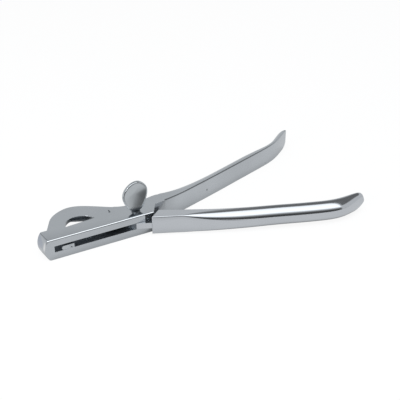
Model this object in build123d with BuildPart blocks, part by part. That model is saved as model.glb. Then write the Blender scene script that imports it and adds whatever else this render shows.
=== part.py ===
from build123d import *
import os
from math import atan2, cos, radians, sin, sqrt, tan

# Emasculator with a slotted bar, a looped guard plate and two handles.
# Z is up, X runs along the bar towards the handles, Y points away from the slot's open front.
# The origin is on the pivot axis, in the plane of the bar's underside.
# All sizes are millimetres. The lever is drawn closed, in its own plane, and stands open.

# Heights, from the underside up
lower_lip = 6.4
slot_height = 5.3
upper_lip = 6.1
bar_height = lower_lip + slot_height + upper_lip
plate_thickness = 3.1

# Bar in plan
pivot_inset = 7.0
bar_left = 73.3
bar_right = 12.0
bar_depth = 13.9
bar_end_skew = 2.1
bar_end_bulge = 2.8
bar_edge_radius = 1.1
end_face_angle = 60.0
end_face_length = 11.4
slot_left = 68.9

# Guard plate and the half-round hole in it
plate_left = 69.6
plate_back = 29.2
loop_hole_left = 55.4
loop_hole_right = 31.6
loop_hole_front = 4.9
loop_hole_back = 14.6
loop_hole_skew = 1.7
loop_foot = 4.0

# Pivot and its fits
shank_radius = 3.4
thread_radius = 3.0
running_gap = 0.05
thread_hole_depth = 4.2
tip_gap = 0.5
boss_radius = 7.8
slide_gap = 0.1
stop_gap = 0.3

# Lever
open_angle = 22.0
lever_front = 7.8
block_back = 2.4
block_right = 37.0
block_taper = 1.4
tongue_inset = 0.4
blade_line = 2.0
blade_start = 22.0
blade_length = 60.0
blade_back = 11.2
bevel_start = 23.0
bevel_width = 4.6
bevel_height = 4.3

# Handles: a block at the root that rounds off towards the hand
handle_top = 17.0
rear_height = 16.9
lever_height = 15.9
handle_depth = 9.4
handle_edge = 0.5
handle_land = 0.2
block_corner = 0.8
round_depth = 8.9
round_height = 7.1
round_length = 62.0
round_start = 2.5
lower_share = 0.82
lower_length = 90.0
rear_taper = 0.5
taper_length = 60.0
rear_tip_length = 24.0
lever_tip_length = 30.0
tip_depth = 3.2
tip_height = 11.4
rear_root_depth = 11.3
lever_root_depth = 8.9
rear_reach = 176.2
rear_rise = 61.6
lever_reach = 183.6
lever_rise = 15.8

# Thumb screw
head_width = 20.4
head_height = 26.4
head_thickness = 3.0
head_dish = 0.6
head_dish_reach = 8.6
head_dish_share = 0.58
head_edge = 0.5
neck_length = 0.8
neck_radius = 2.9
neck_rise = 9.0
neck_top_radius = 0.8

# Stop stud
stud_left = 63.3
stud_length = 9.8
stud_height = 3.4
stud_setback = 0.2
stud_peg_radius = 1.5
stud_peg_length = 3.0
stud_dimple_inset = 2.5
stud_dimple_radius = 1.4
stud_dimple_depth = 0.5

# Punched marks
mark_radius = 0.6
mark_depth = 0.4
plate_mark_left = 18.8
plate_mark_back = 8.8
handle_mark_share = 0.31
handle_mark_drop = 1.2

front = -pivot_inset
back = front + bar_depth
os.makedirs("parts", exist_ok=True)


def shares(length, rise, points):
    """Points given as shares of a length and of a rise."""
    return [(along * length, across * rise) for along, across in points]


def ease(t, power):
    """Rise from 0 to 1 that starts at full speed and ends level."""
    return 1 - (1 - min(max(t, 0), 1)) ** power


def handle_profile(depth, height, upper, lower):
    """Closed profile: flat inner side on x = 0, corners of the outer side rounded off."""
    top = height / 2
    edge = handle_edge
    pull = 0.55
    ends = []
    for side, (corner_depth, corner_height) in ((1, upper), (-1, lower)):
        reach = min(corner_depth, depth - edge - handle_land)
        drop = min(corner_height, top - handle_land)
        ends.append((depth, side * (top - drop)))
        Line((edge, side * top), (depth - reach, side * top))
        Bezier(
            (depth - reach, side * top),
            (depth - reach + pull * reach, side * top),
            (depth, side * (top - drop + pull * drop)),
            (depth, side * (top - drop)),
        )
        Line((0, side * (top - edge)), (edge, side * top))
    Line(*ends)
    Line((0, edge - top), (0, top - edge))


def station_plane(line, share, side, height):
    """Plane across a handle's inner line, x pointing to the handle's outer side."""
    here = line @ share
    along = line % share
    across = Vector(-along.Y, along.X, 0) * side
    return Plane(origin=(here.X, here.Y, handle_top - height / 2), x_dir=across, z_dir=along * side)


def handle_sizes(line, share, root_depth, full_height, taper, tip_length):
    """Depth, height, upper and lower corner of a handle at a share of its inner line."""
    gone = share * line.length - round_start
    left = line.length * (1 - share)
    rounding = 1 - ease(left / tip_length, 2)
    thin = taper * (1 - ease(left / taper_length, 1)) + (1 - taper) * rounding
    depth = handle_depth + (root_depth - handle_depth) * (1 - ease(gone / round_length, 2))
    depth += (tip_depth - handle_depth) * thin
    height = full_height + (tip_height - full_height) * rounding**3
    upper_depth = block_corner + (round_depth - block_corner) * ease(gone / round_length, 3)
    upper_height = block_corner + (round_height - block_corner) * ease(gone / round_length, 2)
    lower_grown = lower_share * ease(gone / lower_length, 2)
    lower_depth = block_corner + (round_depth - block_corner) * lower_grown
    lower_height = block_corner + (round_height - block_corner) * lower_grown
    return depth, height, (upper_depth, upper_height), (lower_depth, lower_height)


# Shares of a handle's inner line at which its section is drawn
stations = [0, 0.08, 0.18, 0.32, 0.48, 0.64, 0.78, 0.86, 0.91, 0.95, 0.98, 1]

# Points that the frame and the lever share
end_corner = (
    bar_right + end_face_length * cos(radians(end_face_angle)),
    front + end_face_length * sin(radians(end_face_angle)),
)

# Inner line of the fixed handle, from its root to its curled tip
rear_course = [
    (0.153, 0.066),
    (0.229, 0.120),
    (0.303, 0.184),
    (0.445, 0.311),
    (0.560, 0.419),
    (0.689, 0.541),
    (0.780, 0.627),
    (0.845, 0.695),
    (0.899, 0.771),
    (0.959, 0.893),
    (1.0, 1.0),
]
with BuildLine() as rear_line:
    Spline(*shares(rear_reach, rear_rise, rear_course))
rear_inner = rear_line.edges()[0]

# Outline of the guard plate, from its left foot over the loop to the waist behind the pivot
loop_course = [
    (0.928, 0.579),
    (0.833, 0.842),
    (0.747, 0.952),
    (0.670, 1.0),
    (0.532, 0.945),
    (0.414, 0.801),
    (0.295, 0.627),
    (0.201, 0.490),
    (0.101, 0.401),
]

# Half-round back of the hole, as shares of its length and depth
hole_course = [(0.26, 0.804), (0.60, 1.0), (0.86, 0.732)]

# Slot wall behind the boss, in boss radii
slot_course = [(0.44, 1.08), (-0.58, 1.53), (-1.22, 1.92)]

# Waist behind the pivot, from the fixed handle to the plate's web, in boss radii
waist_course = [(1.87, 1.75), (0.26, 1.41), (-0.77, 1.49), (-1.65, 1.82)]

# Frame: slotted bar, guard plate and fixed handle in one forging
with BuildPart() as frame:
    root_plane = station_plane(rear_inner, 0, 1, rear_height)
    root_front = root_plane.from_local_coords((0, 0, 0))
    root_back = root_plane.from_local_coords((rear_root_depth, 0, 0))
    bar_start = -bar_left - 3 * bar_end_bulge
    waist_line = shares(boss_radius, boss_radius, waist_course)
    waist = waist_line[1]
    hole_left = (-loop_hole_left, loop_hole_front)
    hole_right = (-loop_hole_right, loop_hole_front + loop_hole_skew)
    with BuildSketch():
        with BuildLine():
            Polyline(
                (bar_start, back),
                (bar_start, front),
                (bar_right, front),
                end_corner,
                (root_front.X, root_front.Y),
                (root_back.X, root_back.Y),
            )
            Spline((root_back.X, root_back.Y), *waist_line)
            Polyline(
                waist_line[-1],
                hole_right,
                hole_left,
                (-loop_hole_left - loop_foot, back),
                (bar_start, back),
            )
        make_face()
    extrude(amount=bar_height)
    # Left end, domed from top to bottom
    end_turn = atan2(bar_end_skew, bar_depth)
    end_plane = Plane(
        origin=(-bar_left, front, 0),
        x_dir=(cos(end_turn), sin(end_turn), 0),
        z_dir=(sin(end_turn), -cos(end_turn), 0),
    )
    with BuildSketch(end_plane):
        with BuildLine():
            ThreePointArc((0, 0), (-bar_end_bulge, bar_height / 2), (0, bar_height))
            Polyline(
                (0, bar_height),
                (-4 * bar_end_bulge, bar_height),
                (-4 * bar_end_bulge, 0),
                (0, 0),
            )
        make_face()
    extrude(amount=2 * bar_depth, both=True, mode=Mode.SUBTRACT)
    end_rims = [edge for edge in frame.edges() if edge.center().X < -bar_left]
    front_rims = frame.edges().filter_by(Axis.X).group_by(Axis.Y)[0].sort_by(Axis.Z)
    fillet(end_rims + [front_rims[-1]], radius=bar_edge_radius)
    # Guard plate, flush with the top of the bar
    with BuildSketch(Plane.XY.offset(bar_height - plate_thickness)):
        with BuildLine():
            loop_bend = Spline(*shares(-plate_left, plate_back, loop_course), waist)
            Polyline(waist, (waist[0], 0), (-plate_left, 0), (-plate_left, back), loop_bend @ 0)
        make_face()
    extrude(amount=plate_thickness)
    # Half-round hole in the guard plate
    with BuildSketch():
        with BuildLine():
            Line(hole_left, hole_right)
            hole_length = loop_hole_left - loop_hole_right
            hole_depth = loop_hole_back - loop_hole_front
            hole_arch = shares(-hole_length, hole_depth, hole_course)
            Spline(
                hole_right,
                *[(x - loop_hole_right, y + loop_hole_front) for x, y in hole_arch],
                hole_left,
            )
        make_face()
    extrude(amount=bar_height, mode=Mode.SUBTRACT)
    # Slot between the lips, closed at the left and by the web behind the pivot
    with BuildSketch(Plane.XY.offset(lower_lip)):
        with BuildLine():
            slot_wall = shares(boss_radius, boss_radius, slot_course)
            Polyline(
                (-slot_left, 2 * front),
                (bar_right + end_face_length, 2 * front),
                end_corner,
                *slot_wall,
                (slot_wall[-1][0], 1.2 * plate_back),
                (-slot_left, 1.2 * plate_back),
                (-slot_left, 2 * front),
            )
        make_face()
    extrude(amount=slot_height, mode=Mode.SUBTRACT)
    # Fixed handle
    for share in stations:
        sizes = handle_sizes(
            rear_inner, share, rear_root_depth, rear_height, rear_taper, rear_tip_length
        )
        with BuildSketch(station_plane(rear_inner, share, 1, rear_height)):
            with BuildLine():
                handle_profile(*sizes)
            make_face()
    loft()
    # Bores for the pivot and for the stop stud's peg, and the two punched marks
    with Locations((-stud_left + stud_length / 2, front / 2, lower_lip)):
        Hole(radius=stud_peg_radius, depth=stud_peg_length)
    with Locations((0, 0, bar_height)):
        Hole(radius=shank_radius + running_gap, depth=upper_lip)
    with Locations((0, 0, lower_lip)):
        Hole(radius=thread_radius + running_gap, depth=thread_hole_depth)
    with Locations((-plate_mark_left, plate_mark_back, bar_height)):
        Hole(radius=mark_radius, depth=mark_depth)
    mark_plane = station_plane(rear_inner, handle_mark_share, 1, rear_height)
    mark_centre = mark_plane.from_local_coords((0, -handle_mark_drop, 0))
    with Locations(Plane(mark_centre, z_dir=-mark_plane.x_dir)):
        Hole(radius=mark_radius, depth=mark_depth)
frame.part.label = "frame"
export_step(frame.part, "parts/frame.step")

# Lever: plane turned back from the closed pose by the opening angle
lever_plane = Plane(
    origin=(0, 0, 0),
    x_dir=(cos(radians(open_angle)), -sin(radians(open_angle)), 0),
    z_dir=(0, 0, 1),
)


def end_face_point(v):
    """Point on the block's left end, one stop gap clear of the frame's end face when closed."""
    slope = radians(end_face_angle)
    return (bar_right + (v - front) / tan(slope) + stop_gap / sin(slope), v)


# Where the blade's heel leaves the boss as a tangent
heel = (-blade_start, blade_line)
heel_distance = sqrt(blade_start**2 + blade_line**2)
heel_reach = sqrt(heel_distance**2 - boss_radius**2)
boss_tangent = (
    -(blade_start * boss_radius + blade_line * heel_reach) * boss_radius / heel_distance**2,
    (blade_line * boss_radius - blade_start * heel_reach) * boss_radius / heel_distance**2,
)

# Inner line of the moving handle, from its block to its curled tip
lever_course = [
    (0.256, 0.025),
    (0.288, 0.0),
    (0.392, -0.032),
    (0.495, -0.006),
    (0.599, 0.063),
    (0.705, 0.120),
    (0.776, 0.177),
    (0.848, 0.285),
    (0.887, 0.411),
    (0.927, 0.600),
    (0.966, 0.812),
    (1.0, 1.0),
]
block_end = (block_right - round_start, block_back - block_taper)
with BuildLine(lever_plane) as lever_line:
    Spline(block_end, *shares(lever_reach, lever_rise, lever_course))
lever_inner = lever_line.edges()[0]

# Back of the blade, from its tip to the boss, as shares of its length and depth
blade_course = [(0.90, 0.82), (0.70, 1.0), (0.40, 0.80)]

# Lever: blade arm, boss, tongue, block and handle in one forging
with BuildPart() as cutting_lever:
    with BuildSketch(lever_plane.offset(lower_lip + slide_gap)):
        Circle(boss_radius)
        with BuildLine():
            Polyline((0, 0), boss_tangent, heel, (-blade_length, blade_line))
            nose, crown, fall = shares(-blade_length, blade_back, blade_course)
            ThreePointArc((-blade_length, blade_line), nose, crown)
            Spline(crown, fall, (0, boss_radius), tangents=((1, 0), (1, 0)))
            Line((0, boss_radius), (0, 0))
        make_face()
        with BuildLine():
            Polyline(
                (0, -lever_front),
                end_face_point(-lever_front),
                (block_right, -lever_front),
                (block_right, 0),
                end_face_point(block_back - tongue_inset),
                (0.28 * boss_radius, 0.95 * boss_radius),
                (0, 0),
                (0, -lever_front),
            )
        make_face()
    extrude(amount=slot_height - 2 * slide_gap)
    # Bevel under the blade, which leaves the cutting edge at the top
    bevel_plane = Plane(
        origin=lever_plane.from_local_coords((-bevel_start, blade_line, lower_lip + slide_gap)),
        x_dir=lever_plane.y_dir,
        z_dir=lever_plane.x_dir,
    )
    with BuildSketch(bevel_plane):
        with BuildLine():
            Polyline(
                (-stop_gap, -stop_gap),
                (bevel_width, -stop_gap),
                (bevel_width, 0),
                (0, bevel_height),
                (-stop_gap, bevel_height),
                (-stop_gap, -stop_gap),
            )
        make_face()
    extrude(amount=-blade_length, mode=Mode.SUBTRACT)
    # Block between the tongue and the handle
    with BuildSketch(lever_plane.offset(handle_top - lever_height)):
        with BuildLine():
            Polyline(
                end_face_point(-lever_front),
                (block_right, -lever_front),
                (block_right, block_back - block_taper),
                end_face_point(block_back),
                end_face_point(-lever_front),
            )
        make_face()
    extrude(amount=lever_height)
    # Moving handle
    for share in stations:
        sizes = handle_sizes(
            lever_inner, share, lever_root_depth, lever_height, 0, lever_tip_length
        )
        with BuildSketch(station_plane(lever_inner, share, -1, lever_height)):
            with BuildLine():
                handle_profile(*sizes)
            make_face()
    loft()
    with Locations((0, 0, lower_lip + slot_height)):
        Hole(radius=shank_radius + running_gap, depth=slot_height)
cutting_lever.part.label = "cutting_lever"
export_step(cutting_lever.part, "parts/cutting_lever.step")

# Outline of the screw's head, as shares of its width and height
head_course = [
    (0.17, 0.03),
    (0.36, 0.235),
    (0.44, 0.40),
    (0.49, 0.585),
    (0.475, 0.74),
    (0.355, 0.885),
    (0.16, 0.985),
    (-0.03, 0.99),
    (-0.24, 0.915),
    (-0.44, 0.745),
    (-0.51, 0.545),
    (-0.45, 0.34),
    (-0.29, 0.125),
    (-0.13, 0.02),
]

# Thumb screw: turned shank with an oval head that is dished on both sides
with BuildPart() as thumb_screw:
    head_foot = bar_height + neck_length
    with BuildSketch(Plane(origin=(0, 0, head_foot), x_dir=(1, 0, 0), z_dir=(0, -1, 0))):
        with BuildLine():
            Spline(*shares(head_width, head_height, head_course), periodic=True)
        make_face()
    extrude(amount=head_thickness / 2, both=True)
    chamfer(thumb_screw.edges(), length=head_edge)
    dish_radius = (head_dish_reach**2 + head_dish**2) / (2 * head_dish)
    dish_offset = head_thickness / 2 - head_dish + dish_radius
    with Locations(
        (0, -dish_offset, head_foot + head_dish_share * head_height),
        (0, dish_offset, head_foot + head_dish_share * head_height),
    ):
        Sphere(dish_radius, mode=Mode.SUBTRACT)
    with BuildSketch(Plane.XZ):
        with BuildLine():
            tip = lower_lip - thread_hole_depth + tip_gap
            Polyline(
                (0, tip),
                (thread_radius - tip_gap, tip),
                (thread_radius, tip + tip_gap),
                (thread_radius, lower_lip),
                (shank_radius, lower_lip),
                (shank_radius, bar_height),
                (neck_radius, head_foot),
                (neck_top_radius, head_foot + neck_rise),
                (0, head_foot + neck_rise),
                (0, tip),
            )
        make_face()
    revolve(axis=Axis.Z)
thumb_screw.part.label = "thumb_screw"
export_step(thumb_screw.part, "parts/thumb_screw.step")

# Stop stud: round-nosed block on the slot's floor, pegged into the lower lip
with BuildPart() as stop_stud:
    stud_face = pivot_inset - stud_setback
    stud_right = stud_length - stud_left
    nose = stud_height / 2
    with BuildSketch(Plane.XZ.offset(stud_face)):
        with BuildLine():
            Polyline(
                (-stud_left + nose, lower_lip),
                (stud_right, lower_lip),
                (stud_right, lower_lip + stud_height),
                (-stud_left + nose, lower_lip + stud_height),
            )
            ThreePointArc(
                (-stud_left + nose, lower_lip + stud_height),
                (-stud_left, lower_lip + nose),
                (-stud_left + nose, lower_lip),
            )
        make_face()
    extrude(amount=-(blade_line - stop_gap + stud_face))
    with BuildSketch(Plane.XY.offset(lower_lip - stud_peg_length)):
        with Locations((-stud_left + stud_length / 2, front / 2)):
            Circle(stud_peg_radius)
    extrude(amount=stud_peg_length)
    dimple_sphere = (stud_dimple_radius**2 + stud_dimple_depth**2) / (2 * stud_dimple_depth)
    dimple_centre = stud_dimple_depth - stud_face - dimple_sphere
    with Locations((stud_right - stud_dimple_inset, dimple_centre, lower_lip + nose)):
        Sphere(dimple_sphere, mode=Mode.SUBTRACT)
stop_stud.part.label = "stop_stud"
export_step(stop_stud.part, "parts/stop_stud.step")
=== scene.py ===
import math

import bmesh
import bpy
import numpy as np
from mathutils import Matrix, Vector


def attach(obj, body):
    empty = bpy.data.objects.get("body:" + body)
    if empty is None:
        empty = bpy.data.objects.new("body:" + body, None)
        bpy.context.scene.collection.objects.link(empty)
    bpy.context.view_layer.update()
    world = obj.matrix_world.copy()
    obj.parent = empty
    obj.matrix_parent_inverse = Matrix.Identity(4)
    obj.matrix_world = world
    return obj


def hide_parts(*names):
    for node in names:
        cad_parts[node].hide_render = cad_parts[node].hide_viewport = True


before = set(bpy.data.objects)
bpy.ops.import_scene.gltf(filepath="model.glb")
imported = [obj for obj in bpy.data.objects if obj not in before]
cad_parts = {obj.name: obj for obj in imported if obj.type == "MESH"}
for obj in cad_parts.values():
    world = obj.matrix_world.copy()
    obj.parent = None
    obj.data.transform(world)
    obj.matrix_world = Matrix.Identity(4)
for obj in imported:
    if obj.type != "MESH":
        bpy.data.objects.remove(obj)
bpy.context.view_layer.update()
print("frame loaded")

mm = 0.001


# small helpers for node trees
def newMaterial(name):
    material = bpy.data.materials.new(name)
    material.use_nodes = True
    material.node_tree.nodes.clear()
    return material, material.node_tree


def addNode(tree, kind, wires=None, **values):
    # wires feed inputs, by name or number, from another node's output or with a fixed value
    node = tree.nodes.new(kind)
    for key, value in values.items():
        if key in node.inputs:
            node.inputs[key].default_value = value
        else:
            setattr(node, key, value)
    for key, source in (wires or {}).items():
        if isinstance(source, bpy.types.NodeSocket):
            tree.links.new(source, node.inputs[key])
        else:
            node.inputs[key].default_value = source
    return node


def multiply(tree, first, second):
    return addNode(tree, "ShaderNodeMath", {0: first, 1: second}, operation="MULTIPLY").outputs[0]


def addScaled(tree, value, factor, base):
    # value x factor + base
    wires = {0: value, 1: factor, 2: base}
    return addNode(tree, "ShaderNodeMath", wires, operation="MULTIPLY_ADD").outputs[0]


def dotWith(tree, vector, axis):
    return addNode(tree, "ShaderNodeVectorMath", {0: vector, 1: axis}, operation="DOT_PRODUCT").outputs["Value"]


def stepBetween(tree, value, start, end, levels=(0.0, 1.0)):
    # soft step from the first level at start to the second at end; start may be the larger one
    wires = {"Value": value, "From Min": min(start, end), "From Max": max(start, end)}
    wires["To Min"], wires["To Max"] = levels if start < end else levels[::-1]
    return addNode(tree, "ShaderNodeMapRange", wires, interpolation_type="SMOOTHSTEP").outputs["Result"]


def mix(tree, share, first, second, kind="FLOAT"):
    # the Mix node has its numbers on inputs 2 and 3, and its colours on 6 and 7
    into, out = {"FLOAT": (2, 0), "RGBA": (6, 2)}[kind]
    return addNode(tree, "ShaderNodeMix", {0: share, into: first, into + 1: second}, data_type=kind).outputs[out]


def mixShaders(tree, share, first, second):
    return addNode(tree, "ShaderNodeMixShader", {0: share, 1: first, 2: second}).outputs[0]


def noise(tree, place, scale, detail, roughness):
    values = {"Scale": scale, "Detail": detail, "Roughness": roughness}
    return addNode(tree, "ShaderNodeTexNoise", {"Vector": place}, **values).outputs["Fac"]


# polished steel, one look for each piece
# color: mirror colour; roughness: blur of the mirror; cloud: how far patches of polish differ
# wave: depth of slow hand-polished waves, line: depth of polishing lines, both in metres
steelLooks = {
    "frame": {"color": (0.595, 0.625, 0.655), "roughness": 0.17, "cloud": 0.10, "wave": 0.00016, "line": 0.0000045},
    "lever": {"color": (0.66, 0.685, 0.72), "roughness": 0.10, "cloud": 0.05, "wave": 0.00005, "line": 0.0000015},
    "screw": {"color": (0.60, 0.635, 0.66), "roughness": 0.13, "cloud": 0.06, "wave": 0.00006, "line": 0.0000015},
}
# what all the steels share
polish = {
    "cloud": (42.0, 3.0, 0.5),      # noise patterns: scale per metre, detail, roughness
    "wave": (36.0, 1.0, 0.4),
    "line": (4200.0, 2.0, 0.6),
    "lineStretch": 0.04,            # the lines run along the instrument
    "smoothest": 0.7,               # spread of the roughness, as shares of it
    "roughest": 1.35,
    "patchSoft": 0.12,              # softness of a patch's edge, in millimetres
}
# places where the frame's colour is painted: shade in the slot and recesses, a painted reflection on the domed end,
# painted highlights on edges, and real nicks; each inside a box from low to high, in millimetres
# soft: half the width over which it fades; lean: how far the box moves along x for each millimetre of height
frameNicksAndPaintedLight = [
    # inside of the slot, rough, and painted dark as the shade in it
    {"low": (-68.95, -6.5, 6.2), "high": (14.5, 30.0, 11.9), "color": (0.24, 0.27, 0.30), "roughness": 0.5},
    # painted shade in the corner where the rear handle leaves the bar, and in the recess before the lever's block
    {
        "low": (14.5, -2.0, 7.0), "high": (21.0, 9.0, 14.5), "color": (0.16, 0.175, 0.19), "roughness": 0.5,
        "soft": 1.2,
    },
    {"low": (4.6, -7.9, 11.4), "high": (16.0, 4.5, 17.3), "color": (0.10, 0.11, 0.12), "roughness": 0.55},
    # domed end, painted darker and bluish as a painted reflection, with a painted highlight down its front edge; both
    # lean with the end
    {
        "low": (-90.0, -9.0, -1.0), "high": (-78.9, 9.0, 18.5), "color": (0.50, 0.535, 0.60), "roughness": 0.2,
        "soft": 0.3, "lean": 0.2,
    },
    # painted highlight along the domed end's front edge
    {
        "low": (-79.0, -9.0, 3.5), "high": (-78.2, -4.0, 17.6), "color": (0.98, 0.98, 0.98), "roughness": 0.3,
        "soft": 0.35, "lean": 0.2,
    },
    # top front edge, painted lighter as a painted highlight
    {
        "low": (-75.2, -9.0, 17.15), "high": (11.5, -6.35, 18.5), "color": (0.80, 0.83, 0.86), "roughness": 0.2,
        "soft": 0.05,
    },
    # small nicks in the plate and in the inner side of the handle
    {
        "low": (-18.7, 8.0, 17.0), "high": (-17.9, 11.6, 18.5), "color": (0.13, 0.14, 0.15), "roughness": 0.5,
        "soft": 0.35,
    },
    {
        "low": (70.6, 13.0, 6.7), "high": (71.7, 20.0, 8.5), "color": (0.22, 0.23, 0.24), "roughness": 0.5,
        "soft": 0.4,
    },
    {
        "low": (141.5, 36.0, 1.9), "high": (142.2, 44.0, 2.8), "color": (0.22, 0.23, 0.24), "roughness": 0.5,
        "soft": 0.3,
    },
]
# the screw's neck and the foot of its head, rougher and painted dark as shade where the head stands over the plate
paintedNeckShade = {
    "low": (-9.0, -5.0, 14.0), "high": (9.0, 5.0, 22.2), "color": (0.13, 0.145, 0.16), "roughness": 0.5,
    "soft": 1.6,
}
# the blade and the hidden faces of the lever are rough and painted dark as the shade inside the slot; only the
# tongue's front face is polished
paintedBladeShade = {"low": (-80.0, -7.2, 6.2), "high": (16.0, 60.0, 11.9), "color": (0.20, 0.225, 0.25), "roughness": 0.5}


def insideBox(tree, place, low, high, soft, lean):
    # product over the three axes of a soft step up at low and a soft step down at high
    x, y, z = addNode(tree, "ShaderNodeSeparateXYZ", {0: place}).outputs
    x = addScaled(tree, z, -lean, x)    # a leaning box moves along x with the height
    total = 1.0
    for value, start, end in zip((x, y, z), low, high):
        for edge, half in ((start, soft), (end, -soft)):
            total = multiply(tree, total, stepBetween(tree, value, (edge - half) * mm, (edge + half) * mm))
    return total


def polishedSteel(name, look, patches=()):
    material, tree = newMaterial(name)
    place = addNode(tree, "ShaderNodeTexCoord").outputs["Object"]
    # cloudy polish: soft patches of a few centimetres in colour and roughness
    cloud = noise(tree, place, *polish["cloud"])
    dark, bright = [
        [part * share for part in look["color"]] + [1] for share in (1 - look["cloud"], 1 + look["cloud"])
    ]
    color = mix(tree, cloud, dark, bright, "RGBA")
    smoothest, roughest = look["roughness"] * polish["smoothest"], look["roughness"] * polish["roughest"]
    spread = {"Value": cloud, "To Min": smoothest, "To Max": roughest}
    roughness = addNode(tree, "ShaderNodeMapRange", spread).outputs["Result"]
    # each patch paints its colour and roughness over its box: painted shade, painted highlights and reflections, and
    # nicks
    for patch in patches:
        soft, lean = patch.get("soft", polish["patchSoft"]), patch.get("lean", 0.0)
        mask = insideBox(tree, place, patch["low"], patch["high"], soft, lean)
        color = mix(tree, mask, color, (*patch["color"], 1), "RGBA")
        roughness = mix(tree, mask, roughness, patch["roughness"])
    # hand-polished surface: slow waves, then fine lines along the instrument
    waves = noise(tree, place, *polish["wave"])
    along = addNode(tree, "ShaderNodeMapping", {"Vector": place, "Scale": (polish["lineStretch"], 1.0, 1.0)})
    lines = noise(tree, along.outputs["Vector"], *polish["line"])
    normal = addNode(tree, "ShaderNodeBump", {"Height": waves}, Strength=1.0, Distance=look["wave"]).outputs[0]
    relief = {"Height": lines, "Normal": normal}
    normal = addNode(tree, "ShaderNodeBump", relief, Strength=1.0, Distance=look["line"]).outputs[0]
    surface = {"Base Color": color, "Roughness": roughness, "Normal": normal}
    steel = addNode(tree, "ShaderNodeBsdfPrincipled", surface, Metallic=1.0)
    addNode(tree, "ShaderNodeOutputMaterial", {0: steel.outputs[0]})
    return material


frameSteel = polishedSteel("steel_frame", steelLooks["frame"], frameNicksAndPaintedLight)
leverSteel = polishedSteel("steel_lever", steelLooks["lever"])
bladeSteel = polishedSteel("steel_blade", steelLooks["lever"], [paintedBladeShade])
screwSteel = polishedSteel("steel_screw", steelLooks["screw"], [paintedNeckShade])
print("materials made")


def showPiece(name, mesh, material, body, node):
    piece = bpy.data.objects.new(name, mesh)
    bpy.context.scene.collection.objects.link(piece)
    mesh.materials.clear()
    mesh.materials.append(material)
    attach(piece, body)
    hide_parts(node)
    return piece


# forged and turned pieces: a node's own shape, its edges broken by a small radius
forging = {
    "merge": 0.002,      # points closer than this, in millimetres, are one
    "onPlane": 0.0005,   # points closer than this to a cut lie in it
    "flat": 0.4,         # faces that turn less than this, in degrees, are joined
    "sharp": 30,         # edges that turn more are shaded sharp
    "rounded": 35,       # edges that turn more are rounded
    "segments": 2,
}


def forgedPiece(name, node, material, body, edge, cuts=()):
    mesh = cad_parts[node].data.copy()
    mesh.name = name
    if "custom_normal" in mesh.attributes:
        mesh.attributes.remove(mesh.attributes["custom_normal"])
    shape = bmesh.new()
    shape.from_mesh(mesh)
    bmesh.ops.remove_doubles(shape, verts=shape.verts, dist=forging["merge"] * mm)
    # each cut is a point and the direction in which everything past it goes
    cuts = [(Vector(point) * mm, Vector(outward).normalized()) for point, outward in cuts]
    for point, outward in cuts:
        found = bmesh.ops.bisect_plane(
            shape, geom=shape.verts[:] + shape.edges[:] + shape.faces[:], plane_co=point, plane_no=outward,
            clear_outer=True, dist=forging["onPlane"] * mm,
        )
        rim = [item for item in found["geom_cut"] if isinstance(item, bmesh.types.BMEdge)]
        bmesh.ops.holes_fill(shape, edges=rim)
    bmesh.ops.dissolve_limit(
        shape, angle_limit=math.radians(forging["flat"]), verts=shape.verts, edges=shape.edges
    )
    for face in shape.faces:
        face.smooth = True
    # the rim of a cut meets the next piece, so it stays sharp and isn't rounded
    rounded = shape.edges.layers.float.new("bevel_weight_edge")
    for side in shape.edges:
        turned = side.calc_face_angle(0) if len(side.link_faces) == 2 else math.pi
        side.smooth = turned < math.radians(forging["sharp"])
        inRim = any(
            all(abs((corner.co - point).dot(outward)) < forging["merge"] * mm for corner in side.verts)
            for point, outward in cuts
        )
        side[rounded] = float(turned > math.radians(forging["rounded"]) and not inRim)
    shape.to_mesh(mesh)
    shape.free()
    piece = showPiece(name, mesh, material, body, node)
    if edge:
        rounding = piece.modifiers.new("edge", "BEVEL")
        rounding.width = edge * mm
        rounding.segments = forging["segments"]
        rounding.limit_method = "WEIGHT"
        rounding.harden_normals = True


def splineThrough(points, shares, closed=False):
    # natural cubic spline over the running chord length, read at shares of its length:
    # second slopes from the usual row of equations; a closed one is solved over three laps
    knots = np.array(points, float)
    first, last = (len(knots), 2 * len(knots)) if closed else (0, -1)
    if closed:
        knots = np.vstack([knots, knots, knots, knots[:1]])
    run = np.r_[0, np.cumsum(np.linalg.norm(np.diff(knots, axis=0), axis=1))]
    step = np.diff(run)
    size = len(knots)
    matrix = np.eye(size)
    inner = np.arange(1, size - 1)
    matrix[inner, inner - 1] = step[:-1]
    matrix[inner, inner] = 2 * (step[:-1] + step[1:])
    matrix[inner, inner + 1] = step[1:]
    right = np.zeros((size, knots.shape[1]))
    right[1:-1] = 6 * np.diff(np.diff(knots, axis=0) / step[:, None], axis=0)
    bend = np.linalg.solve(matrix, right)
    length = run[last] - run[first]
    at = run[first] + shares * length
    cell = np.clip(np.searchsorted(run, at, side="right") - 1, 0, size - 2)
    before = (at - run[cell])[:, None]
    after = (run[cell + 1] - at)[:, None]
    width = step[cell][:, None]
    value = (bend[cell] * after**3 + bend[cell + 1] * before**3) / (6 * width)
    value += (knots[cell] / width - bend[cell] * width / 6) * after
    value += (knots[cell + 1] / width - bend[cell + 1] * width / 6) * before
    slope = (bend[cell + 1] * before**2 - bend[cell] * after**2) / (2 * width)
    slope += (knots[cell + 1] - knots[cell]) / width - (bend[cell + 1] - bend[cell]) * width / 6
    return value, slope / np.linalg.norm(slope, axis=1)[:, None], length


def ease(t, power):
    # rises from 0 to 1 and levels out there: 1 - (1 - t) to the power
    return 1 - (1 - np.clip(t, 0, 1)) ** power


def quarterEllipse(t):
    # falls from 1 to 0, steep at first: 1 - square root of (1 - (1 - t) squared)
    return 1 - np.sqrt(1 - np.clip(1 - t, 0, 1) ** 2)


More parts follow.
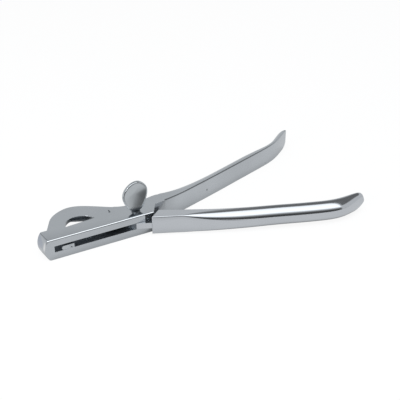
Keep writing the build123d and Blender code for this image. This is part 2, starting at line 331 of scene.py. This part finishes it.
def gridMesh(name, rings):
    # rings: stations x ring points x 3, in millimetres; quads between rings, and a fan over each end
    stations, points = rings.shape[:2]
    vertices = np.vstack([rings.reshape(-1, 3), rings[0].mean(0), rings[-1].mean(0)]) * mm
    column = np.arange(points)
    following = np.roll(column, -1)
    row = points * np.arange(stations - 1)[:, None]
    quads = np.stack([row + column, row + following, row + points + following, row + points + column], axis=2)
    quads = quads.reshape(-1, 4)
    tail = (stations - 1) * points
    startFan = np.stack([following, column, np.full(points, stations * points)], axis=1)
    endFan = np.stack([tail + column, tail + following, np.full(points, stations * points + 1)], axis=1)
    # sum of (a x b) . c over all triangles is six times the volume; it is negative where faces point inwards
    triangles = np.vstack([quads[:, :3], quads[:, [0, 2, 3]], startFan, endFan])
    a, b, c = vertices[triangles].transpose(1, 0, 2)
    turned = -1 if (np.cross(a, b) * c).sum() < 0 else 1
    faces = quads[:, ::turned].tolist() + startFan[:, ::turned].tolist() + endFan[:, ::turned].tolist()
    mesh = bpy.data.meshes.new(name)
    mesh.from_pydata(vertices, [], faces)
    mesh.polygons.foreach_set("use_smooth", np.ones(len(mesh.polygons), bool))
    # the first ring is a sharp rim, so that its flat end doesn't shade the sides
    ends = np.zeros(2 * len(mesh.edges), int)
    mesh.edges.foreach_get("vertices", ends)
    mesh.attributes.new("sharp_edge", "BOOLEAN", "EDGE")
    mesh.attributes["sharp_edge"].data.foreach_set("value", (ends.reshape(-1, 2) < points).all(axis=1))
    mesh.update()
    return mesh


# both handles, in millimetres
gripShape = {
    "depth": 9.4,           # thickness of a handle
    "top": 17.0,            # height of its upper side
    "corner": 0.8,          # radius of the block's corners at the root
    "rootLength": 2.5,      # stays square over this length
    "roundDepth": 8.9,      # full rounding of the outer side, inwards and downwards
    "roundHeight": 7.1,
    "roundLength": 62.0,    # run over which the upper rounding grows
    "pull": 0.55,           # fullness of the rounding
    "lowerShare": 0.82,     # the lower rounding, as a share of the upper one
    "lowerLength": 90.0,
    "crownLength": 30.0,    # run over which a raised root sinks
    "taperLength": 60.0,    # run over which a handle thins towards its tip
    "tipDepth": 3.2,
    "least": 0.1,           # what is left at least of a flat between two roundings
    "edgeShare": 0.45,      # largest radius of an inner edge, as a share of the thickness or the height
    "landLength": 3.0,      # the inner facet runs out over this length at the tip
    "landPoints": ((0.9, 0.1), (1.0, 0.0), (1.1, 0.0)),    # its outer rim, as shares of its width and fall
    "landRoom": 1.15,       # and the room that it takes from the rounding
    "stations": 130,        # sections up to the tip's share of the length, and over the tip
    "tipStations": 40,
    "tipShare": 0.07,
    "roundPoints": 15,      # points on each rounding, each inner edge and the flat inner side
    "edgePoints": 5,
    "innerPoints": 6,
}
# stations along a handle: even over its length, closer together at the round tip
tipTurn = np.linspace(0, math.pi / 2, gripShape["tipStations"])[1:]
handleStations = np.r_[
    np.linspace(0, 1 - gripShape["tipShare"], gripShape["stations"]),
    1 - gripShape["tipShare"] * (1 - np.sin(tipTurn)),
]


def bezier(start, over, under, end):
    # cubic curve between two tangents, a row for each station: the four values weighted by
    # (1 - t) cubed, 3 (1 - t) squared t, 3 (1 - t) t squared and t cubed
    t = np.linspace(0, 1, gripShape["roundPoints"])
    return (1 - t)**3 * start + 3 * (1 - t)**2 * t * over + 3 * (1 - t) * t**2 * under + t**3 * end


def sectionPoints(depth, top, bottom, upper, lower, edge, land):
    # half-round section: flat inner side at 0, outer side rounded off above and below; a row for each station
    edge = np.minimum(edge, gripShape["edgeShare"] * np.minimum(depth, top - bottom))
    wide, fall = land
    quarter = np.radians(np.linspace(180, 90, gripShape["edgePoints"]))
    x = [edge + edge * np.cos(quarter)]
    z = [top - fall - edge + edge * np.sin(quarter)]
    # a slight facet may fall from the top towards the inner edge
    if wide.any():
        over, under = np.transpose(gripShape["landPoints"])
        x.append(edge + wide * over)
        z.append(top - fall * under)
    middle = (top + bottom) / 2
    for side, level, (reach, drop) in ((1, top, upper), (-1, bottom, lower)):
        reach = np.minimum(reach, depth - edge - wide * gripShape["landRoom"] - gripShape["least"])
        drop = np.minimum(drop, np.abs(level - middle) - gripShape["least"])
        start, pull = depth - reach, gripShape["pull"]
        x.append(bezier(start, start + pull * reach, depth, depth)[:, ::side])
        z.append(bezier(level, level, level - side * (1 - pull) * drop, level - side * drop)[:, ::side])
    quarter = quarter + math.pi / 2
    x.append(edge + edge * np.cos(quarter))
    z.append(bottom + edge + edge * np.sin(quarter))
    rise = np.linspace(0, 1, gripShape["innerPoints"] + 2)[1:-1]
    x.append(np.zeros((len(depth), len(rise))))
    z.append(bottom + edge + (top - bottom - 2 * edge) * rise)
    return np.stack([np.hstack(x), np.hstack(z)], axis=2)


def gripSections(course, gone, left):
    # all the sections of a handle, from the lengths gone since its root and left to its tip
    # thickness: the root's, then the handle's, then the tip's, plus swells shaped as bells
    shape = gripShape
    blunt = 1 - ease(left / course["tipLength"], 2)
    thin = course["taper"] * (1 - ease(left / shape["taperLength"], 1)) + (1 - course["taper"]) * blunt
    depth = shape["depth"] + (course["rootDepth"] - shape["depth"]) * (1 - ease(gone / shape["roundLength"], 2))
    depth = depth + (shape["tipDepth"] - shape["depth"]) * thin
    for amount, around, spread in course["swells"]:
        depth = depth + amount * np.exp(-((left - around) / spread) ** 2)
    # the tip's outline is a quarter ellipse above and another below
    (topRun, topDrop), (footRun, footRise) = course["ends"]
    top = shape["top"] + course["crown"] * (1 - ease(gone / shape["crownLength"], 2))
    top = top - topDrop * quarterEllipse(left / topRun)
    low = course["bottom"] + footRise * quarterEllipse(left / footRun)
    deep, high = shape["roundDepth"] - shape["corner"], shape["roundHeight"] - shape["corner"]
    grown = gone / shape["roundLength"]
    upper = shape["corner"] + deep * ease(grown, 3), shape["corner"] + high * ease(grown, 2)
    grown = shape["lowerShare"] * ease(gone / shape["lowerLength"], 2)
    lower = shape["corner"] + deep * grown, shape["corner"] + high * grown
    shrink = np.minimum(1, np.maximum(left, shape["least"]) / shape["landLength"])
    land = [size * shrink for size in course["land"]]
    return sectionPoints(depth, top, low, upper, lower, course["edge"], land)


def handleRings(course):
    # the sections are carried along a spline and stand upright across it:
    # a point lies at the spline's point plus its depth times the direction across, at its own height
    points = [(x * course["reach"], y * course["rise"]) for x, y in course["points"]]
    line, ahead, length = splineThrough(points, handleStations)
    stations = handleStations[:, None]
    sections = gripSections(course, stations * length - gripShape["rootLength"], length * (1 - stations))
    across = course["outside"] * np.c_[-ahead[:, 1], ahead[:, 0]]
    flat = line[:, None] + sections[..., :1] * across[:, None]
    return np.concatenate([flat, sections[..., 1:]], axis=2), line[0], ahead[0]


# rear handle, in millimetres; its points are shares of the reach and the rise
rearCourse = {
    "reach": 176.2,
    "rise": 61.6,
    "rootDepth": 11.3,
    "outside": 1,                       # side of the course on which the rounding lies
    "points": [
        (0.153, 0.066), (0.229, 0.120), (0.303, 0.184), (0.445, 0.311), (0.560, 0.419), (0.689, 0.541),
        (0.780, 0.627), (0.845, 0.697), (0.898, 0.778), (0.953, 0.893), (1.003, 1.005),
    ],
    "bottom": 0.1,
    "taper": 0.62,                      # share of the thinning that is even, and not at the tip
    "tipLength": 6.0,
    "crown": 0.78,                      # how far the root stands above the handle
    "ends": ((1.2, 1.6), (7.5, 4.7)),   # length and height of the tip's curve, above and below
    "edge": 0.2,                        # radius of the inner edges
    "land": (1.0, 0.23),                # width and fall of a facet along the inner top edge
    "swells": ((-1.5, 30.0, 13.0), (0.4, 8.0, 9.0)),    # extra thickness, its distance from the tip, its spread
}
rings, rearRoot, rearAhead = handleRings(rearCourse)
showPiece("rear_handle", gridMesh("rear_handle", rings), frameSteel, "frame_body", "frame")

# the bar's top front edge is a flat chamfer that catches the light
barShape = {"front": -7.0, "top": 17.8, "chamfer": 0.6, "edge": 0.28}
forgedPiece(
    "slotted_bar", "frame", frameSteel, "frame_body", barShape["edge"],
    cuts=[
        ((*rearRoot, 0), (*rearAhead, 0)),
        ((0, barShape["front"] + barShape["chamfer"], barShape["top"]), (0, -1, 1)),
    ],
)
print("frame pieces made")

# front handle with its block, in millimetres, in the lever's own plane as it lies when closed
leverCourse = {
    "open": 22.0,                       # how far the lever stands open, in degrees
    "reach": 183.6,
    "rise": 15.8,
    "rootDepth": 8.9,
    "outside": -1,
    "points": [
        (34.5 / 183.6, 1.0 / 15.8), (0.256, 0.025), (0.288, 0.0), (0.392, -0.032), (0.495, -0.006),
        (0.599, 0.063), (0.705, 0.120), (0.776, 0.177), (0.848, 0.285), (0.887, 0.411), (0.927, 0.600),
        (0.966, 0.780), (1.0, 0.88),
    ],
    "bottom": 1.1,
    "taper": 0.0,
    "tipLength": 30.0,
    "crown": 0.0,
    "ends": ((6.0, 5.0), (10.0, 7.0)),
    "edge": 0.55,
    "land": (0.0, 0.0),
    "swells": (),
    "blockFront": -7.8,
    "blockBack": 2.4,
    "blockLength": 17.0,
    # rings of the block: how far each is drawn in, and its distance from the sloping end face
    "blockRings": [(0.30, 0.0), (0.13, 0.04), (0.04, 0.13), (0.0, 0.30), (0.0, 1.2), (0.0, 6.0), (0.0, 12.0)],
    "faceFoot": 12.0,                   # where the end face starts at the bar's front
    "faceSlope": 60.0,
    "faceGap": 0.3,                     # room between it and the frame's end face when closed
}
openAngle, slope = math.radians(leverCourse["open"]), math.radians(leverCourse["faceSlope"])


def leverToPart(flat):
    # the lever's own plane is turned back from the closed pose by the opening angle:
    # x is u cosine + v sine, y is v cosine - u sine
    u, v, z = np.moveaxis(np.asarray(flat, float), -1, 0)
    x = u * math.cos(openAngle) + v * math.sin(openAngle)
    y = -u * math.sin(openAngle) + v * math.cos(openAngle)
    return np.stack([x, y, z], axis=-1)


def endFace(v):
    # how far along the lever its sloping end face lies, at a distance v across:
    # a straight line from its foot at the bar's front, moved back by the gap
    return (
        leverCourse["faceFoot"] + (v - barShape["front"]) / math.tan(slope) + leverCourse["faceGap"] / math.sin(slope)
    )


def blockSections(root):
    # the handle's root section slides to the sloping end face and widens there; its rim is rounded
    inset, lead = np.array(leverCourse["blockRings"]).T[..., None]
    y, z = root[:, 1], root[:, 2]
    front, back = leverCourse["blockFront"], leverCourse["blockBack"]
    widen = np.clip(1 - lead / leverCourse["blockLength"], 0, 1)
    v = front + (y - y.min()) / np.ptp(y) * (y.max() - front + (back - y.max()) * widen)
    v = np.clip(v, v.min(axis=1, keepdims=True) + inset, v.max(axis=1, keepdims=True) - inset)
    z = np.clip(z, z.min() + inset, z.max() - inset)
    return np.stack([endFace(v) + lead, v, z], axis=-1)


rings = handleRings(leverCourse)[0]
rings = leverToPart(np.concatenate([blockSections(rings[0]), rings]))
showPiece("front_handle", gridMesh("front_handle", rings), leverSteel, "lever_body", "cutting_lever")

# of the node's copy only the blade, the boss and the tongue are left: it is cut just before the block's end face
bladeShape = {"edge": 0.15, "before": 0.02}
facePoint = leverToPart((endFace(barShape["front"]) - bladeShape["before"], barShape["front"], 0))
faceTurn = slope - openAngle
forgedPiece(
    "blade_arm", "cutting_lever", bladeSteel, "lever_body", bladeShape["edge"],
    cuts=[(facePoint, (math.sin(faceTurn), -math.cos(faceTurn), 0))],
)
print("lever pieces made")

# the screw's head: a leaf-shaped plate, dished on both sides, on a short turned neck; in millimetres
headShape = {
    "foot": 18.6,          # height of its lowest point
    "width": 20.4,
    "height": 26.4,
    "middle": 0.58,        # where the dish is deepest, as a share of the height
    "rim": 1.40,           # half of its thickness at the rim
    "dish": 1.10,          # depth of each dish
    "rimRound": 0.045,     # rounding of the rim, as a share of the way from the middle
    "innermost": 0.06,     # share of the way out at which the dish's first ring lies
    "dishRings": 14,
    "rimRings": 13,
    "around": 96,          # points on each ring
    "course": [
        (0.17, 0.03), (0.36, 0.235), (0.44, 0.40), (0.49, 0.585), (0.475, 0.74), (0.355, 0.885), (0.16, 0.985),
        (-0.03, 0.99), (-0.24, 0.915), (-0.44, 0.745), (-0.51, 0.545), (-0.45, 0.34), (-0.29, 0.125),
        (-0.13, 0.02),
    ],
}


def headRings(shape):
    # the outline is drawn in towards the middle, ring by ring, from one face over the rim to the other
    # half thickness at a share of the way out: rim - dish x (1 - share squared)
    laps = np.linspace(0, 1, shape["around"], endpoint=False)
    outline = splineThrough([(x * shape["width"], z * shape["height"]) for x, z in shape["course"]], laps, True)[0]
    middle = np.array((0, shape["middle"] * shape["height"]))
    out = np.linspace(shape["innermost"], 1 - shape["rimRound"], shape["dishRings"])[:-1]
    half = shape["rim"] - shape["dish"] * (1 - (out / out[-1]) ** 2)
    turn = np.radians(np.linspace(0, 180, shape["rimRings"]))
    rim = np.c_[1 - shape["rimRound"] * (1 - np.sin(turn)), shape["rim"] * np.cos(turn)]
    share, level = np.vstack([np.c_[out, half], rim, np.c_[out, -half][::-1]]).T[..., None]
    x = middle[0] + (outline[:, 0] - middle[0]) * share
    z = middle[1] + (outline[:, 1] - middle[1]) * share
    return np.stack(np.broadcast_arrays(x, level, z + shape["foot"]), axis=-1)


showPiece(
    "screw_head", gridMesh("screw_head", headRings(headShape)), screwSteel, "screw_body", "thumb_screw",
)
shankShape = {"edge": 0, "inHead": 0.5}    # the neck ends this far inside the head
forgedPiece(
    "screw_shank", "thumb_screw", screwSteel, "screw_body", shankShape["edge"],
    cuts=[((0, 0, headShape["foot"] + shankShape["inHead"]), (0, 0, 1))],
)
stopShape = {"edge": 0.12}
forgedPiece("slot_stop", "stop_stud", screwSteel, "frame_body", stopShape["edge"])
print("screw and stud made")


# floor and room, in metres; distances to the front and to the right are as the camera sees them
studio = {
    "floorSize": 4.0,
    "floorColor": (0.90, 0.91, 0.92),
    "shadowShare": 0.10,              # how much of the floor's own shading the camera sees
    "floorInMetal": 0.76,             # brightness of the floor as metal mirrors it
    "floorUnder": 0.20,               # what is left of it under the object
    "underReach": 0.035,              # how near the object the floor dims
    "underFrom": 0.8,                 # share of open sky below which it dims
    "frontEdge": (-0.30, -0.14),      # the table ends dark between these distances
    "frontLevel": 0.08,
    "shadeFront": (-0.024, -0.052),   # a patch of floor in shade, before the screw's head
    "shadeRight": (0.0, 0.03),
    "shadeEnd": (0.105, 0.085),
    "shadeLevel": 0.22,               # what is left of the floor's brightness there
    "worldLight": 0.55,
    "worldColor": (0.95, 0.97, 1.0),
    "mirrorColor": (0.965, 0.985, 1.0),
    "frontTurn": -27.25,              # the room's front, in degrees, as the camera's azimuth
}
# what metal mirrors, by angle over the room: 0 is the far horizon, 90 the zenith, 180 the near horizon
roomLevels = [
    (0, 0.66), (38, 0.62), (47, 0.30), (58, 0.16), (68, 0.22), (75, 1.35), (100, 1.6), (124, 1.55),
    (134, 0.70), (143, 0.36), (154, 0.09), (180, 0.05),
]
# the bright part of the room ends at both sides, where the room falls from low to high as it rises
softboxSides = {
    "left": (-0.85, -0.65),
    "right": (0.52, 0.44),
    "slant": 0.6,             # the right side slants away from the camera
    "low": 0.62,
    "high": 0.16,
    "falls": (0.58, 0.70),
}
frontTurn = math.radians(studio["frontTurn"])
awayFront = (-math.sin(frontTurn), math.cos(frontTurn), 0)
toRight = (math.cos(frontTurn), math.sin(frontTurn), 0)


def floorInMetal(tree):
    # bright around the object, dim under it, dark beyond the table's front edge and in the shaded patch
    place = addNode(tree, "ShaderNodeTexCoord").outputs["Object"]
    forward, sideways = dotWith(tree, place, awayFront), dotWith(tree, place, toRight)
    table = stepBetween(tree, forward, *studio["frontEdge"], (studio["frontLevel"], 1.0))
    shaded = stepBetween(tree, sideways, *studio["shadeRight"])
    shaded = multiply(tree, shaded, stepBetween(tree, sideways, *studio["shadeEnd"]))
    shaded = multiply(tree, shaded, stepBetween(tree, forward, *studio["shadeFront"]))
    table = multiply(tree, table, mix(tree, shaded, 1.0, studio["shadeLevel"]))
    openSky = addNode(tree, "ShaderNodeAmbientOcclusion", Distance=studio["underReach"]).outputs["AO"]
    covered = stepBetween(tree, openSky, 0.0, studio["underFrom"], (studio["floorUnder"], 1.0))
    level = multiply(tree, multiply(tree, table, covered), studio["floorInMetal"])
    return addNode(tree, "ShaderNodeEmission", {"Strength": level}, Color=(*studio["floorColor"], 1)).outputs[0]


def floorMaterial():
    # lit as pale paper; the camera sees it nearly white, and metal mirrors the levels above
    material, tree = newMaterial("floor_white")
    path = addNode(tree, "ShaderNodeLightPath").outputs
    paper = addNode(tree, "ShaderNodeBsdfDiffuse", Color=(*studio["floorColor"], 1)).outputs[0]
    white = addNode(tree, "ShaderNodeEmission", Color=(1, 1, 1, 1), Strength=1.0).outputs[0]
    seen = mixShaders(tree, studio["shadowShare"], white, paper)
    camera = mixShaders(tree, path["Is Camera Ray"], paper, seen)
    metal = mixShaders(tree, path["Is Glossy Ray"], camera, floorInMetal(tree))
    addNode(tree, "ShaderNodeOutputMaterial", {0: metal})
    return material


half = studio["floorSize"] / 2
floorMesh = bpy.data.meshes.new("floor")
floorMesh.from_pydata([(-half, -half, 0), (half, -half, 0), (half, half, 0), (-half, half, 0)], [], [(0, 1, 2, 3)])
floorMesh.materials.append(floorMaterial())
floor = bpy.data.objects.new("floor", floorMesh)
bpy.context.scene.collection.objects.link(floor)

# lamps, in metres and watts
lamps = {
    "softbox_above": {
        "place": (-0.05, -0.25, 1.1), "target": (0.05, 0, 0), "size": (1.1, 0.8), "power": 9, "inMetal": False,
    },
    "softbox_left": {
        "place": (-0.62, -0.36, 0.36), "target": (-0.06, 0, 0), "size": (0.22, 0.30), "power": 1.6, "inMetal": True,
    },
}


def softbox(name, place, target, size, power, inMetal):
    light = bpy.data.lights.new(name, "AREA")
    light.shape = "RECTANGLE"
    light.size, light.size_y = size
    light.energy = power
    lamp = bpy.data.objects.new(name, light)
    lamp.location = place
    lamp.rotation_mode = "QUATERNION"
    lamp.rotation_quaternion = (Vector(target) - Vector(place)).to_track_quat("-Z", "Y")
    lamp.visible_glossy = inMetal
    bpy.context.scene.collection.objects.link(lamp)


for name, values in lamps.items():
    softbox(name, **values)


def roomInMetal(tree, direction):
    # brightness of the room by the angle of a direction over it, from far horizon to near horizon
    ahead, aside = dotWith(tree, direction, awayFront), dotWith(tree, direction, toRight)
    height = dotWith(tree, direction, (0, 0, 1))
    angle = addNode(tree, "ShaderNodeMath", {0: height, 1: ahead}, operation="ARCTAN2").outputs[0]
    top = 4.0    # brightness that the curve's upper end stands for
    room = addNode(tree, "ShaderNodeFloatCurve", {"Value": multiply(tree, angle, 1 / math.pi)})
    curve = room.mapping.curves[0]
    curve.points[0].location = (0, roomLevels[0][1] / top)
    curve.points[1].location = (1, roomLevels[-1][1] / top)
    for degrees, level in roomLevels[1:-1]:
        curve.points.new(degrees / 180, level / top)
    for point in curve.points:
        point.handle_type = "VECTOR"
    room.mapping.update()
    inside = stepBetween(tree, aside, *softboxSides["left"])
    slanted = addScaled(tree, ahead, softboxSides["slant"], aside)
    inside = multiply(tree, inside, stepBetween(tree, slanted, *softboxSides["right"]))
    beside = stepBetween(tree, height, *softboxSides["falls"], (softboxSides["low"], softboxSides["high"]))
    return mix(tree, inside, beside, multiply(tree, room.outputs[0], top))


# the camera sees plain white, metal mirrors the room, and all else is lit by an even fill
world = bpy.data.worlds.new("studio")
bpy.context.scene.world = world
world.use_nodes = True
tree = world.node_tree
tree.nodes.clear()
direction = addNode(tree, "ShaderNodeTexCoord").outputs["Generated"]
room = addNode(
    tree, "ShaderNodeBackground", {"Strength": roomInMetal(tree, direction)}, Color=(*studio["mirrorColor"], 1)
)
fill = addNode(tree, "ShaderNodeBackground", Color=(*studio["worldColor"], 1), Strength=studio["worldLight"])
white = addNode(tree, "ShaderNodeBackground", Color=(1, 1, 1, 1), Strength=1.0)
path = addNode(tree, "ShaderNodeLightPath").outputs
lit = mixShaders(tree, path["Is Glossy Ray"], fill.outputs[0], room.outputs[0])
seen = mixShaders(tree, path["Is Camera Ray"], lit, white.outputs[0])
addNode(tree, "ShaderNodeOutputWorld", {0: seen})
print("light set")


# camera, fitted to the photograph's edges
cameraView = {
    "place": (-0.19187, -0.48111, 0.36320),
    "azimuth": -27.25,
    "elevation": 33.0,
    "lens": 72.0,
    "sensor": 36.0,
    "clip": (0.01, 50),
}
azimuth, elevation = math.radians(cameraView["azimuth"]), math.radians(cameraView["elevation"])
back = Vector((
    math.sin(azimuth) * math.cos(elevation), -math.cos(azimuth) * math.cos(elevation), math.sin(elevation)
))
right = Vector((math.cos(azimuth), math.sin(azimuth), 0))
lens = bpy.data.cameras.new("camera")
lens.lens, lens.sensor_width, lens.sensor_fit = cameraView["lens"], cameraView["sensor"], "HORIZONTAL"
lens.clip_start, lens.clip_end = cameraView["clip"]
camera = bpy.data.objects.new("camera", lens)
turned = Matrix((right, back.cross(right), back)).transposed().to_4x4()
camera.matrix_world = Matrix.Translation(cameraView["place"]) @ turned
bpy.context.scene.collection.objects.link(camera)
bpy.context.scene.camera = camera
bpy.context.scene.view_settings.view_transform = "Standard"

print("scene ready")
